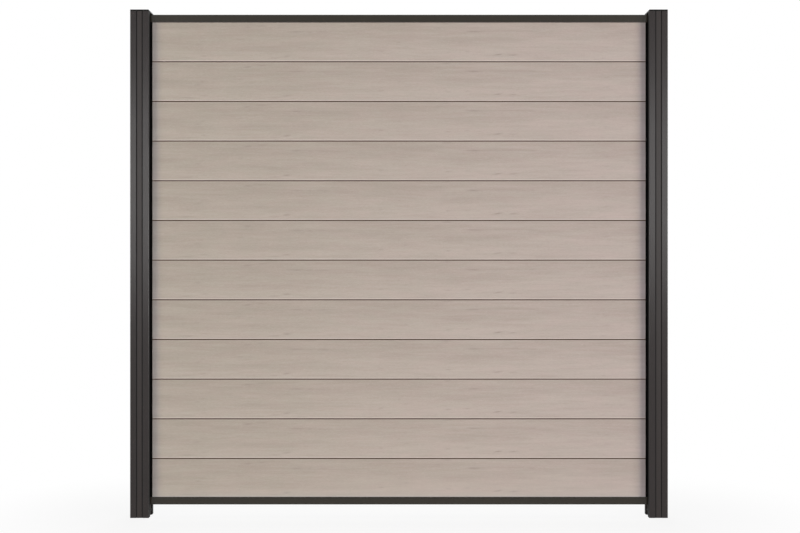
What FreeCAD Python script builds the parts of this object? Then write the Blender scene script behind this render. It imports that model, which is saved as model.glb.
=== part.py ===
import FreeCAD, Part

import os

import Sketcher

# Garden privacy screen: two slotted aluminium posts hold a stack of tongue-and-groove boards
# between a bottom and a top rail.
#
# The frame: +X runs to the right along the screen, +Y points to its rear and +Z up. The origin is
# on the ground, midway between the posts and midway through their depth. Sizes are millimetres.

BOARD_COUNT = 12
CHAMBER_COUNT = 5
LEFT, RIGHT = -1, 1
FRONT, REAR = -1, 1
SIDE_NAMES = {LEFT: "left", RIGHT: "right"}
FACE_NAMES = {FRONT: "front", REAR: "rear"}

# Driving sizes: name, size, meaning.
DRIVING = [
    ("clear_width", 1880, "between the facing sides of the two posts"),
    ("ground_gap", 45.5, "from the ground to the bottom rail"),
    ("post_width", 70, "post, along X"),
    ("post_depth", 70, "post, along Y"),
    ("post_rise", 8.5, "how far a post stands above the top rail, without its cap"),
    ("post_wall", 2.5, "outer wall of a post"),
    ("post_corner", 2, "radius of a post's four outer corners"),
    ("flute_spacing", 21.5, "between the two flutes of a post's face, centre to centre"),
    ("flute_width", 4, "mouth of a flute"),
    ("flute_depth", 2.2, "depth of a flute"),
    ("band_setback", 0.8, "how far the band between the flutes lies back"),
    ("flute_floor", 2.3, "wall left behind a flute"),
    ("flute_land", 1.2, "how far the thicker wall runs on past a flute"),
    ("slot_depth", 24, "slot in a post's side, from mouth to floor"),
    ("slot_wall", 2, "side walls and floor of a slot"),
    ("slot_edge", 0.6, "radius of a slot's mouth"),
    ("port_radius", 2.1, "screw port for a foot plate"),
    ("port_wall", 2.1, "wall round a screw port"),
    ("port_inset", 15, "from a post's side to the axis of a screw port"),
    ("port_merge", 0.7, "how deep a port's wall is sunk in the post's wall"),
    ("cap_plate", 6, "thickness of a post cap's plate"),
    ("cap_bevel", 1, "bevel round the top of that plate"),
    ("cap_leg_length", 15, "legs of a cap, down into the post"),
    ("cap_leg_thickness", 2, "thickness of a cap's leg"),
    ("cap_leg_width", 12, "width of a cap's leg"),
    ("cap_leg_clearance", 0.2, "between a cap's leg and the wall beside it"),
    ("board_thickness", 21, "board, along Y"),
    ("board_cover", 150, "height that one board adds to the stack"),
    ("board_end_gap", 4, "from a board's end to the slot's floor, for growth in heat"),
    ("board_skin", 4, "wall of a board round its chambers"),
    ("board_web", 3.5, "web between two chambers"),
    ("board_bevel", 0.8, "bevel along the edges of a board's faces"),
    ("joint_gap", 3.2, "shadow gap between two boards, on either face"),
    ("joint_gap_depth", 4, "depth of that gap"),
    ("tongue_height", 8, "tongue above its shoulders"),
    ("tongue_thickness", 7, "tongue, along Y"),
    ("tongue_bevel", 1, "bevel of the tongue's tip"),
    ("tongue_clearance", 0.5, "between a tongue and either side of its groove"),
    ("tongue_headroom", 1.5, "between a tongue's tip and its groove's floor"),
    ("rail_height", 25, "bottom and top rail, without the tongue"),
    ("rail_wall", 2, "wall of a rail"),
    ("rail_corner", 0.6, "radius of a rail's long corners"),
    ("rail_lip", 3.5, "how far a rail's lips reach past the edge of the board beside it"),
    ("rail_lip_root", 3, "how far the lips' set-back goes on along the rail's face"),
    ("rail_lip_wall", 1.7, "thickness of a lip"),
    ("rail_lip_clearance", 0.3, "between a lip and the board's face"),
    ("rail_clearance", 0.5, "between a rail and either side of its slot"),
    ("rail_end_gap", 2, "from a rail's end to the slot's floor"),
    ("gasket_web", 3.5, "rubber between a board and the side of its slot"),
    ("gasket_reach", 14, "how far the gasket goes into the slot"),
    ("gasket_fin", 8.3, "how far its fin covers the board's face"),
    ("gasket_fin_edge", 1.2, "thickness of the fin at its edge"),
    ("gasket_lip", 3, "how far the gasket covers the post's side beside the slot"),
    ("gasket_lip_width", 2.5, "width of that covering lip"),
    ("cover_plate", 2, "thickness of a slot cover's face"),
    ("cover_leg", 1.6, "thickness of a slot cover's legs"),
    ("cover_reach", 16, "how far a slot cover goes into its slot"),
    ("cover_bead", 2.5, "length of the bead at the end of each leg"),
    ("cover_clearance", 0.3, "between a slot cover and either side of its slot"),
    ("block_recess", 3.5, "from a post's side to the face of its spacer block"),
    ("block_bevel", 1, "bevel round the face of a spacer block"),
    ("screw_radius", 2.1, "shank of every screw"),
    ("screw_clearance", 0.1, "round a screw's shank, and round a countersunk head"),
    ("screw_tip", 3, "pointed end of a screw"),
    ("head_radius", 4, "head of every screw"),
    ("flat_head_height", 2.2, "countersunk head of a rail screw"),
    ("pan_head_height", 2.6, "pan head of a spacer screw"),
    ("pan_head_bevel", 0.8, "bevel round a pan head"),
    ("drive_width", 1, "arm of the cross recess in a screw's head"),
    ("drive_reach", 2.2, "from a screw's axis to the end of such an arm"),
    ("drive_depth", 1.4, "depth of that recess"),
    ("rail_screw_inset", 7, "from a post's side to the axis of a rail screw"),
    ("rail_screw_bite", 4, "how far a rail screw goes on past the rail's wall"),
    ("spacer_screw_bite", 6, "how far a spacer screw goes on past the slot's floor"),
]

# Sizes that follow from the driving ones.
DERIVED = [
    ("half_clear", "clear_width / 2"),
    ("post_centre", "half_clear + post_width / 2"),
    ("slot_width", "board_thickness + 2 * gasket_web"),
    ("rail_thickness", "slot_width - 2 * rail_clearance"),
    ("board_length", "clear_width + 2 * (slot_depth - board_end_gap)"),
    ("rail_length", "clear_width + 2 * (slot_depth - rail_end_gap)"),
    ("lip_inside", "board_thickness / 2 + rail_lip_clearance"),
    ("lip_outside", "lip_inside + rail_lip_wall"),
    ("groove_width", "tongue_thickness + 2 * tongue_clearance"),
    ("groove_depth", "tongue_height + tongue_headroom"),
    ("board_face_top", "board_cover - joint_gap"),
    ("chamber_bottom", "groove_depth + board_skin"),
    ("chamber_room", "board_face_top - board_skin - chamber_bottom"),
    ("chamber_pitch", f"(chamber_room + board_web) / {CHAMBER_COUNT}"),
    ("stack_bottom", "ground_gap + rail_height"),
    ("stack_height", f"{BOARD_COUNT} * board_cover"),
    ("stack_top", "stack_bottom + stack_height"),
    ("post_height", "stack_top + rail_height + post_rise"),
    ("port_x", "post_width / 2 - port_inset"),
    ("port_y", "post_depth / 2 - post_wall - port_radius - port_wall + port_merge"),
    ("web_inside", "post_width / 2 - slot_depth - slot_wall"),
    ("flute_wall_inside", "post_depth / 2 - flute_depth - flute_floor"),
    ("hole_radius", "screw_radius + screw_clearance"),
    ("spacer_screw_height", "ground_gap / 2"),
    ("bottom_screw_height", "ground_gap + rail_height / 2"),
    ("top_screw_height", "stack_top + rail_height / 2"),
    ("rail_screw_x", "half_clear + rail_screw_inset"),
]

doc = FreeCAD.newDocument("garden_privacy_screen")
sheet = doc.addObject("Spreadsheet::Sheet", "Sizes")
sub_parts = []


class SizeNames:
    """Gives a size's name as a formula writes it: size.post_wall is Sizes.post_wall."""

    def __getattr__(self, name):
        return f"Sizes.{name}"


size = SizeNames()


def fill_sheet():
    """Writes the driving sizes as plain numbers and the others as formulas, each with its name."""
    for row, (name, value, meaning) in enumerate(DRIVING, start=1):
        sheet.set(f"A{row}", name)
        sheet.set(f"B{row}", str(value))
        sheet.set(f"C{row}", meaning)
        sheet.setAlias(f"B{row}", name)
    for row, (name, formula) in enumerate(DERIVED, start=len(DRIVING) + 1):
        sheet.set(f"A{row}", name)
        sheet.set(f"B{row}", f"={formula}")
        sheet.setAlias(f"B{row}", name)
    doc.recompute()


def minus(formula):
    """The same formula with its sign turned."""
    return f"-({formula})"


def half(formula):
    return f"({formula}) / 2"


# Outlines: lists of points, each a pair of formulas.


def mirrored(right_half):
    """Closes an outline whose right half is given, by the same points left of the vertical axis."""
    return right_half + [(minus(x), y) for x, y in reversed(right_half)]


def mirrored_twice(quarter):
    """Closes an outline whose quarter is given, from the X axis round to the Y axis."""
    upper = mirrored(quarter)
    return upper + [(x, minus(y)) for x, y in reversed(upper)]


def rectangle(left, bottom, right, top):
    return [(left, bottom), (right, bottom), (right, top), (left, top)]


# Bodies, sketches and features.


def new_body(label, x="0", y="0", z="0"):
    """An empty body at the place that three formulas give, listed as a sub-part."""
    body = doc.addObject("PartDesign::Body", label)
    body.Label = label
    for letter, formula in zip("xyz", (x, y, z)):
        body.setExpression(f"Placement.Base.{letter}", formula)
    sub_parts.append(body)
    return body


def origin_feature(body, role):
    """One of the body's own axes or planes."""
    return next(feature for feature in body.Origin.OriginFeatures if feature.Role == role)


def new_sketch(body, name, plane, offset="0"):
    """A sketch on one of the body's planes, moved along that plane's normal by a formula."""
    sketch = body.newObject("Sketcher::SketchObject", name)
    sketch.AttachmentSupport = [(origin_feature(body, plane), "")]
    sketch.MapMode = "FlatFace"
    sketch.setExpression("AttachmentOffset.Base.z", offset)
    return sketch


def present(sketch, x, y):
    """Where two formulas put a point at present."""
    return FreeCAD.Vector(float(sketch.evalExpression(x)), float(sketch.evalExpression(y)), 0)


def pin(sketch, number, end, x, y):
    """Holds one point of a sketch's line or circle where two formulas put it."""
    at = present(sketch, x, y)
    for kind, value, formula in (("DistanceX", at.x, x), ("DistanceY", at.y, y)):
        bound = sketch.addConstraint(Sketcher.Constraint(kind, -1, 1, number, end, value))
        sketch.setExpression(f"Constraints[{bound}]", formula)


def draw_outline(sketch, points):
    """Draws a closed outline of straight lines."""
    corners = [present(sketch, x, y) for x, y in points]
    first = sketch.GeometryCount
    for start, end in zip(corners, corners[1:] + corners[:1]):
        sketch.addGeometry(Part.LineSegment(start, end), False)
    for i, (x, y) in enumerate(points):
        following = first + (i + 1) % len(points)
        sketch.addConstraint(Sketcher.Constraint("Coincident", first + i, 2, following, 1))
        pin(sketch, first + i, 1, x, y)


def draw_circle(sketch, x, y, radius):
    """Draws a circle."""
    value = float(sketch.evalExpression(radius))
    ring = Part.Circle(present(sketch, x, y), FreeCAD.Vector(0, 0, 1), value)
    number = sketch.addGeometry(ring, False)
    bound = sketch.addConstraint(Sketcher.Constraint("Radius", number, value))
    sketch.setExpression(f"Constraints[{bound}]", radius)
    pin(sketch, number, 3, x, y)


def extrude(body, kind, sketch, length, forward=True, both_ways=False):
    """Adds (Pad) or cuts (Pocket) a sketch's area, along its normal if forward, or both ways."""
    feature = body.newObject(f"PartDesign::{kind}", f"{sketch.Name}_{kind.lower()}")
    feature.Profile = sketch
    feature.setExpression("Length", length)
    feature.Reversed = forward == (kind == "Pocket")
    feature.SideType = "Symmetric" if both_ways else "One side"
    doc.recompute()
    return feature


def revolve(body, sketch, axis):
    """Turns a sketch's area once round the sketch's own horizontal or vertical axis."""
    feature = body.newObject("PartDesign::Revolution", f"{sketch.Name}_turned")
    feature.Profile = sketch
    feature.ReferenceAxis = (sketch, [axis])
    feature.Angle = 360
    doc.recompute()
    return feature


def repeat(body, name, originals, axis, count, length):
    """Repeats features along an axis of the body; length is from the first to the last."""
    pattern = body.newObject("PartDesign::LinearPattern", name)
    pattern.Originals = originals
    pattern.Direction = (origin_feature(body, axis), [""])
    pattern.Occurrences = count
    pattern.setExpression("Length", length)
    body.Tip = pattern
    doc.recompute()
    return pattern


def straight_edges(feature, direction, test):
    """Names of a feature's straight edges along a direction whose middle passes a test."""
    names = []
    for number, edge in enumerate(feature.Shape.Edges, start=1):
        if edge.Curve.TypeId != "Part::GeomLine":
            continue
        along = edge.Curve.Direction.dot(FreeCAD.Vector(*direction))
        if abs(along) > 0.999 and test(edge.CenterOfMass):
            names.append(f"Edge{number}")
    return names


def soften(body, kind, name, base, edges, formula):
    """Rounds (Fillet) or bevels (Chamfer) some edges of a feature."""
    feature = body.newObject(f"PartDesign::{kind}", name)
    feature.Base = (base, edges)
    feature.setExpression("Radius" if kind == "Fillet" else "Size", formula)
    doc.recompute()
    return feature


def now(formula):
    """The present value of a formula, for finding edges by their place."""
    return float(sheet.evalExpression(formula.replace("Sizes.", "")))


def same(a, b):
    return abs(a - b) < 1e-4


# The posts and what goes into them.


def make_post(side):
    """A post: two flutes in its front and rear faces, a slot in either side, one hollow."""
    body = new_body(f"post_{SIDE_NAMES[side]}", x=f"{side} * {size.post_centre}")
    half_width, half_depth = half(size.post_width), half(size.post_depth)
    half_slot = half(size.slot_width)
    flute, flute_half = half(size.flute_spacing), half(size.flute_width)

    section = new_sketch(body, "post_section", "XY_Plane")
    quarter = [
        (f"{half_width} - {size.slot_depth}", half_slot),
        (half_width, half_slot),
        (half_width, half_depth),
        (f"{flute} + {flute_half}", half_depth),
        (flute, f"{half_depth} - {size.flute_depth}"),
        (f"{flute} - {flute_half}", f"{half_depth} - {size.band_setback}"),
    ]
    draw_outline(section, mirrored_twice(quarter))
    bar = extrude(body, "Pad", section, size.post_height)

    x, y = now(half_width), now(half_depth)
    corners = straight_edges(bar, (0, 0, 1), lambda p: same(abs(p.x), x) and same(abs(p.y), y))
    bar = soften(body, "Fillet", "post_corners", bar, corners, size.post_corner)
    y = now(half_slot)
    mouths = straight_edges(bar, (0, 0, 1), lambda p: same(abs(p.x), x) and same(abs(p.y), y))
    soften(body, "Fillet", "slot_mouths", bar, mouths, size.slot_edge)

    hollow = new_sketch(body, "post_hollow", "XY_Plane")
    side_wall_inside = f"{half_width} - {size.post_wall}"
    face_wall_inside = f"{half_depth} - {size.post_wall}"
    slot_wall_inside = f"{half_slot} + {size.slot_wall}"
    land_end = f"{flute} + {flute_half} + {size.flute_land}"
    quarter = [
        (size.web_inside, slot_wall_inside),
        (side_wall_inside, slot_wall_inside),
        (side_wall_inside, face_wall_inside),
        (land_end, face_wall_inside),
        (land_end, size.flute_wall_inside),
    ]
    draw_outline(hollow, mirrored_twice(quarter))
    extrude(body, "Pocket", hollow, size.post_height)

    bosses = new_sketch(body, "port_walls", "XY_Plane")
    bores = new_sketch(body, "port_bores", "XY_Plane")
    for along in (LEFT, RIGHT):
        for across in (FRONT, REAR):
            centre = (f"{along} * {size.port_x}", f"{across} * {size.port_y}")
            draw_circle(bosses, *centre, f"{size.port_radius} + {size.port_wall}")
            draw_circle(bores, *centre, size.port_radius)
    extrude(body, "Pad", bosses, size.post_height)
    extrude(body, "Pocket", bores, size.post_height)

    drill_for_rail_screws(body, side)
    drill_for_spacer_screw(body, side)


def drill_for_rail_screws(body, side):
    """Countersunk holes from a post's rear face into its slot, at the height of either rail."""
    x = f"{-side} * ({half(size.post_width)} - {size.rail_screw_inset})"
    holes = new_sketch(body, "rail_screw_holes", "XZ_Plane", minus(half(size.post_depth)))
    seats = new_sketch(body, "rail_screw_seats", "XZ_Plane", minus(half(size.post_depth)))
    for height in (size.bottom_screw_height, size.top_screw_height):
        draw_circle(holes, x, height, size.hole_radius)
        draw_circle(seats, x, height, f"{size.head_radius} + {size.screw_clearance}")
    into_slot = f"{half(size.post_depth)} - {half(size.rail_thickness)}"
    extrude(body, "Pocket", holes, into_slot)
    seat = extrude(body, "Pocket", seats, size.flat_head_height)
    flare = f"({size.head_radius} - {size.screw_radius}) / {size.flat_head_height}"
    seat.setExpression("TaperAngle", f"-atan({flare})")
    doc.recompute()


def drill_for_spacer_screw(body, side):
    """The spacer screw's hole through the floor of the slot that faces the boards."""
    hole = new_sketch(body, "spacer_screw_hole", "YZ_Plane", f"{-side} * {size.web_inside}")
    draw_circle(hole, "0", size.spacer_screw_height, size.hole_radius)
    extrude(body, "Pocket", hole, size.slot_wall, forward=side == LEFT)


def make_post_cap(side):
    """A flat cap as wide as the post, with four legs that go down into its hollow."""
    body = new_body(
        f"post_cap_{SIDE_NAMES[side]}", x=f"{side} * {size.post_centre}", z=size.post_height
    )
    half_width, half_depth = half(size.post_width), half(size.post_depth)
    plate = new_sketch(body, "cap_plate", "XY_Plane")
    draw_outline(plate, mirrored_twice([(half_width, half_depth)]))
    slab = extrude(body, "Pad", plate, size.cap_plate)
    corners = straight_edges(slab, (0, 0, 1), lambda p: True)
    slab = soften(body, "Fillet", "cap_corners", slab, corners, size.post_corner)
    rim = straight_edges(slab, (1, 0, 0), lambda p: p.z > now(size.cap_plate) / 2)
    soften(body, "Chamfer", "cap_rim", slab, rim, size.cap_bevel)

    legs = new_sketch(body, "cap_legs", "XY_Plane")
    across = f"{size.flute_wall_inside} - {size.cap_leg_clearance}"
    along = f"{size.web_inside} - {size.cap_leg_clearance}"
    span = half(size.cap_leg_width)
    for sign in (FRONT, REAR):
        near, far = f"{sign} * ({across} - {size.cap_leg_thickness})", f"{sign} * ({across})"
        draw_outline(legs, rectangle(minus(span), near, span, far))
    for sign in (LEFT, RIGHT):
        near, far = f"{sign} * ({along} - {size.cap_leg_thickness})", f"{sign} * ({along})"
        draw_outline(legs, rectangle(near, minus(span), far, span))
    extrude(body, "Pad", legs, size.cap_leg_length, forward=False)


def make_slot_cover(side):
    """The snap-in strip that closes the slot on a post's outer side, from the ground to the cap."""
    outside = f"{side} * ({size.half_clear} + {size.post_width})"
    body = new_body(f"slot_cover_{SIDE_NAMES[side]}", x=outside)
    wall = half(size.slot_width)
    leg_outside = f"{wall} - {size.cover_clearance}"
    leg_inside = f"{leg_outside} - {size.cover_leg}"
    bead_start = f"{size.cover_reach} - {size.cover_bead}"
    upper = [
        ("0", leg_outside),
        (bead_start, leg_outside),
        (bead_start, wall),
        (size.cover_reach, leg_outside),
        (size.cover_reach, leg_inside),
        (size.cover_plate, leg_inside),
    ]
    section = new_sketch(body, "cover_section", "XY_Plane")
    both = upper + [(x, minus(y)) for x, y in reversed(upper)]
    draw_outline(section, [(f"{-side} * ({x})", y) for x, y in both])
    extrude(body, "Pad", section, size.post_height)


def make_spacer_block(side):
    """The block in the foot of a post's slot that carries the end of the bottom rail."""
    body = new_body(f"spacer_block_{SIDE_NAMES[side]}", x=f"{side} * {size.half_clear}")
    near, far = f"{side} * {size.block_recess}", f"{side} * {size.slot_depth}"
    section = new_sketch(body, "block_section", "XZ_Plane")
    draw_outline(section, rectangle(near, "0", far, size.ground_gap))
    block = extrude(body, "Pad", section, size.rail_thickness, both_ways=True)
    face = now(size.block_recess)
    rim = straight_edges(block, (0, 1, 0), lambda p: same(abs(p.x), face))
    rim += straight_edges(block, (0, 0, 1), lambda p: same(abs(p.x), face))
    soften(body, "Chamfer", "block_rim", block, rim, size.block_bevel)
    bore = new_sketch(body, "block_bore", "YZ_Plane", near)
    draw_circle(bore, "0", size.spacer_screw_height, size.hole_radius)
    extrude(body, "Pocket", bore, size.slot_depth, forward=side == RIGHT)


# What the posts hold.


def make_gasket(side, face):
    """A rubber strip along the boards' ends: it fills the slot beside them and laps their faces."""
    body = new_body(
        f"gasket_{SIDE_NAMES[side]}_{FACE_NAMES[face]}",
        x=f"{side} * {size.half_clear}",
        y=f"{face} * {half(size.board_thickness)}",
        z=f"{size.stack_bottom} + {size.rail_lip}",
    )
    lip_top = f"{size.gasket_web} + {size.gasket_lip}"
    points = [
        (minus(size.gasket_reach), "0"),
        (size.gasket_fin, "0"),
        (size.gasket_fin, size.gasket_fin_edge),
        (size.gasket_lip_width, lip_top),
        ("0", lip_top),
        ("0", size.gasket_web),
        (minus(size.gasket_reach), size.gasket_web),
    ]
    section = new_sketch(body, "gasket_section", "XY_Plane")
    draw_outline(section, [(f"{-side} * ({x})", f"{face} * ({y})") for x, y in points])
    extrude(body, "Pad", section, f"{size.stack_height} - 2 * {size.rail_lip}")


def make_board(number):
    """A hollow board: a tongue between two shadow gaps along its top, a groove along its bottom."""
    height = f"{size.stack_bottom} + {number - 1} * {size.board_cover}"
    body = new_body(f"board_{number:02d}", z=height)
    face = half(size.board_thickness)
    groove, tongue = half(size.groove_width), half(size.tongue_thickness)
    shoulder = f"{face} - {size.joint_gap_depth}"
    tip = f"{size.board_cover} + {size.tongue_height}"
    right_half = [
        (groove, size.groove_depth),
        (groove, "0"),
        (f"{face} - {size.board_bevel}", "0"),
        (face, size.board_bevel),
        (face, f"{size.board_face_top} - {size.board_bevel}"),
        (f"{face} - {size.board_bevel}", size.board_face_top),
        (shoulder, size.board_face_top),
        (shoulder, size.board_cover),
        (tongue, size.board_cover),
        (tongue, f"{tip} - {size.tongue_bevel}"),
        (f"{tongue} - {size.tongue_bevel}", tip),
    ]
    section = new_sketch(body, "board_section", "YZ_Plane")
    draw_outline(section, mirrored(right_half))
    extrude(body, "Pad", section, size.board_length, both_ways=True)

    inside = f"{face} - {size.board_skin}"
    chamber_top = f"{size.chamber_bottom} + {size.chamber_pitch} - {size.board_web}"
    chamber = new_sketch(body, "chamber_section", "YZ_Plane")
    draw_outline(chamber, rectangle(minus(inside), size.chamber_bottom, inside, chamber_top))
    first = extrude(body, "Pocket", chamber, size.board_length, both_ways=True)
    span = f"{CHAMBER_COUNT - 1} * {size.chamber_pitch}"
    repeat(body, "chambers", [first], "Z_Axis", CHAMBER_COUNT, span)


def make_rail(label, height, outline, hollow, corner_heights):
    """A hollow rail from an outline and a hollow, with its long outer corners rounded."""
    body = new_body(label, z=height)
    section = new_sketch(body, f"{label}_section", "YZ_Plane")
    draw_outline(section, mirrored(outline))
    bar = extrude(body, "Pad", section, size.rail_length, both_ways=True)
    face = now(half(size.rail_thickness))
    heights = [now(formula) for formula in corner_heights]
    corners = straight_edges(
        bar, (1, 0, 0), lambda p: same(abs(p.y), face) and any(same(p.z, z) for z in heights)
    )
    soften(body, "Fillet", f"{label}_corners", bar, corners, size.rail_corner)

    inside = new_sketch(body, f"{label}_hollow", "YZ_Plane")
    draw_outline(inside, mirrored(hollow))
    extrude(body, "Pocket", inside, size.rail_length, both_ways=True)

    holes = new_sketch(body, f"{label}_screw_holes", "XZ_Plane", minus(half(size.rail_thickness)))
    for side in (LEFT, RIGHT):
        draw_circle(holes, f"{side} * {size.rail_screw_x}", half(size.rail_height), size.hole_radius)
    extrude(body, "Pocket", holes, size.rail_wall)


def make_bottom_rail():
    """The rail that the boards stand on, between two lips; its tongue enters the first groove."""
    face, tongue = half(size.rail_thickness), half(size.tongue_thickness)
    tip = f"{size.rail_height} + {size.tongue_height}"
    step = f"{size.rail_height} - {size.rail_lip_root}"
    lip_end = f"{size.rail_height} + {size.rail_lip}"
    outline = [
        (face, "0"),
        (face, step),
        (size.lip_outside, step),
        (size.lip_outside, lip_end),
        (size.lip_inside, lip_end),
        (size.lip_inside, size.rail_height),
        (tongue, size.rail_height),
        (tongue, f"{tip} - {size.tongue_bevel}"),
        (f"{tongue} - {size.tongue_bevel}", tip),
    ]
    hollow = [
        (f"{face} - {size.rail_wall}", size.rail_wall),
        (f"{face} - {size.rail_wall}", f"{step} - {size.rail_wall}"),
        (f"{size.lip_outside} - {size.rail_wall}", f"{step} - {size.rail_wall}"),
        (f"{size.lip_outside} - {size.rail_wall}", f"{size.rail_height} - {size.rail_wall}"),
        (f"{tongue} - {size.rail_wall}", f"{size.rail_height} - {size.rail_wall}"),
        (f"{tongue} - {size.rail_wall}", f"{tip} - {size.rail_wall}"),
    ]
    make_rail("bottom_rail", size.ground_gap, outline, hollow, ["0", step])


def make_top_rail():
    """The rail that closes the stack; its groove takes the last tongue, its lips hang before it."""
    face, groove = half(size.rail_thickness), half(size.groove_width)
    outline = [
        (groove, size.groove_depth),
        (groove, "0"),
        (size.lip_inside, "0"),
        (size.lip_inside, minus(size.rail_lip)),
        (size.lip_outside, minus(size.rail_lip)),
        (size.lip_outside, size.rail_lip_root),
        (face, size.rail_lip_root),
        (face, size.rail_height),
    ]
    hollow = [
        (f"{groove} + {size.rail_wall}", f"{size.groove_depth} + {size.rail_wall}"),
        (f"{groove} + {size.rail_wall}", size.rail_wall),
        (f"{size.lip_outside} - {size.rail_wall}", size.rail_wall),
        (f"{size.lip_outside} - {size.rail_wall}", f"{size.rail_lip_root} + {size.rail_wall}"),
        (f"{face} - {size.rail_wall}", f"{size.rail_lip_root} + {size.rail_wall}"),
        (f"{face} - {size.rail_wall}", f"{size.rail_height} - {size.rail_wall}"),
    ]
    heights = [size.rail_lip_root, size.rail_height]
    make_rail("top_rail", size.stack_top, outline, hollow, heights)


# Fasteners.


def cross_outline():
    """The cross recess of a screw's head."""
    reach, arm = size.drive_reach, half(size.drive_width)
    return mirrored_twice([(reach, arm), (arm, arm), (arm, reach)])


def make_rail_screws():
    """Four countersunk screws, from the posts' rear faces into the ends of both rails."""
    body = new_body(
        "rail_screws",
        x=minus(size.rail_screw_x),
        y=half(size.post_depth),
        z=size.bottom_screw_height,
    )
    length = (
        f"({half(size.post_depth)} - {half(size.rail_thickness)}"
        f" + {size.rail_wall} + {size.rail_screw_bite})"
    )
    section = new_sketch(body, "rail_screw_section", "XY_Plane")
    points = [
        ("0", "0"),
        (size.head_radius, "0"),
        (size.screw_radius, minus(size.flat_head_height)),
        (size.screw_radius, f"{size.screw_tip} - {length}"),
        ("0", minus(length)),
    ]
    draw_outline(section, points)
    screw = revolve(body, section, "V_Axis")
    drive = new_sketch(body, "rail_screw_drive", "XZ_Plane")
    draw_outline(drive, cross_outline())
    recess = extrude(body, "Pocket", drive, size.drive_depth)
    pattern = repeat(
        body, "four_screws", [screw, recess], "X_Axis", 2, f"2 * {size.rail_screw_x}"
    )
    pattern.Direction2 = (origin_feature(body, "Z_Axis"), [""])
    pattern.Occurrences2 = 2
    pattern.setExpression("Length2", f"{size.top_screw_height} - {size.bottom_screw_height}")
    doc.recompute()


def make_spacer_screws():
    """Two pan-head screws, through the spacer blocks into the floors of the posts' slots."""
    body = new_body("spacer_screws", z=size.spacer_screw_height)
    seat = f"{size.half_clear} + {size.block_recess}"
    head = f"{seat} - {size.pan_head_height}"
    tip = f"{size.half_clear} + {size.slot_depth} + {size.slot_wall} + {size.spacer_screw_bite}"
    section = new_sketch(body, "spacer_screw_section", "XY_Plane")
    points = [
        (head, "0"),
        (head, f"{size.head_radius} - {size.pan_head_bevel}"),
        (f"{head} + {size.pan_head_bevel}", size.head_radius),
        (seat, size.head_radius),
        (seat, size.screw_radius),
        (f"{tip} - {size.screw_tip}", size.screw_radius),
        (tip, "0"),
    ]
    draw_outline(section, points)
    screw = revolve(body, section, "H_Axis")
    drive = new_sketch(body, "spacer_screw_drive", "YZ_Plane", head)
    draw_outline(drive, cross_outline())
    recess = extrude(body, "Pocket", drive, size.drive_depth)
    pair = body.newObject("PartDesign::Mirrored", "both_screws")
    pair.Originals = [screw, recess]
    pair.MirrorPlane = (origin_feature(body, "YZ_Plane"), [""])
    body.Tip = pair
    doc.recompute()


def check_document():
    """Stops if any object of the document is in a bad state or any sub-part has no valid shape."""
    for item in doc.Objects:
        bad = [word for word in item.State if word in ("Invalid", "Error")]
        if bad:
            raise RuntimeError(f"{item.Label} is {bad}")
    for body in sub_parts:
        if body.Shape.isNull() or not body.Shape.isValid():
            raise RuntimeError(f"{body.Label} has no valid shape")


fill_sheet()
for side in (LEFT, RIGHT):
    make_post(side)
    make_post_cap(side)
    make_slot_cover(side)
    make_spacer_block(side)
    for face in (FRONT, REAR):
        make_gasket(side, face)
make_bottom_rail()
for number in range(1, BOARD_COUNT + 1):
    make_board(number)
make_top_rail()
make_rail_screws()
make_spacer_screws()
doc.recompute()
check_document()

os.makedirs("parts", exist_ok=True)
for body in sub_parts:
    body.Shape.exportStep(f"parts/{body.Label}.step")
    print(body.Label, len(body.Shape.Solids), "solid(s)", round(body.Shape.Volume), "mm3")
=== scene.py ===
# %% [markdown]
# # A garden privacy screen, dressed
#
# The object is one field of a garden fence. Twelve grey-beige composite boards lie one on another
# between two dark aluminium posts. The measured solids are loaded as a fixed frame, and this lesson
# gives them their looks.
#
# Two ways lead to a model like this. One is to draw everything anew in Blender, with the risk that it
# no longer fits together. The other is to keep the solids where their shape is right, as with the
# posts and rails, and to build anew only what a plain solid can't show: the pressed wood grain of the
# boards and the soft lips of the rubber seals. This lesson takes the second way.

# %% Load the frame
import math

import bpy
import numpy as np
from mathutils.geometry import tessellate_polygon
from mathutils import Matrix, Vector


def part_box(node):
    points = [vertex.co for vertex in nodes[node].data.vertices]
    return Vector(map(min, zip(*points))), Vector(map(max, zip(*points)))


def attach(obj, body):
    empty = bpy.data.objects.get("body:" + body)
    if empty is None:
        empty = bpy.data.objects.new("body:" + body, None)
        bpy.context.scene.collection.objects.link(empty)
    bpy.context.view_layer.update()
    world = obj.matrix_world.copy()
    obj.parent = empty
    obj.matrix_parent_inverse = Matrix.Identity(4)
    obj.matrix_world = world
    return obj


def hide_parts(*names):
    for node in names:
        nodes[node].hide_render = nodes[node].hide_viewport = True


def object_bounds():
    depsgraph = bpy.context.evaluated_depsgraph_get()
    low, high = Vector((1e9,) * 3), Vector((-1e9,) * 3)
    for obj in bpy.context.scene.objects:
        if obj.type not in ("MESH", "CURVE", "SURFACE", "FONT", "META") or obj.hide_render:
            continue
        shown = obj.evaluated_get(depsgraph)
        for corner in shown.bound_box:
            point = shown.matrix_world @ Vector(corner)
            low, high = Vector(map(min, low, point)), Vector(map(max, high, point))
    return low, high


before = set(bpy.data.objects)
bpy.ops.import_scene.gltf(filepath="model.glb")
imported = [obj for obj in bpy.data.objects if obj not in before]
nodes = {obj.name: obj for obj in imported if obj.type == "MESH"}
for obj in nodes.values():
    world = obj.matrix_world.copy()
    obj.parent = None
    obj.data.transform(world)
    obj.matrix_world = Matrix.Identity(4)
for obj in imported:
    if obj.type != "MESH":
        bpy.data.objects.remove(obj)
cad_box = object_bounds()
print(f"{len(nodes)} solids, from {tuple(cad_box[0])} to {tuple(cad_box[1])}")

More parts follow.
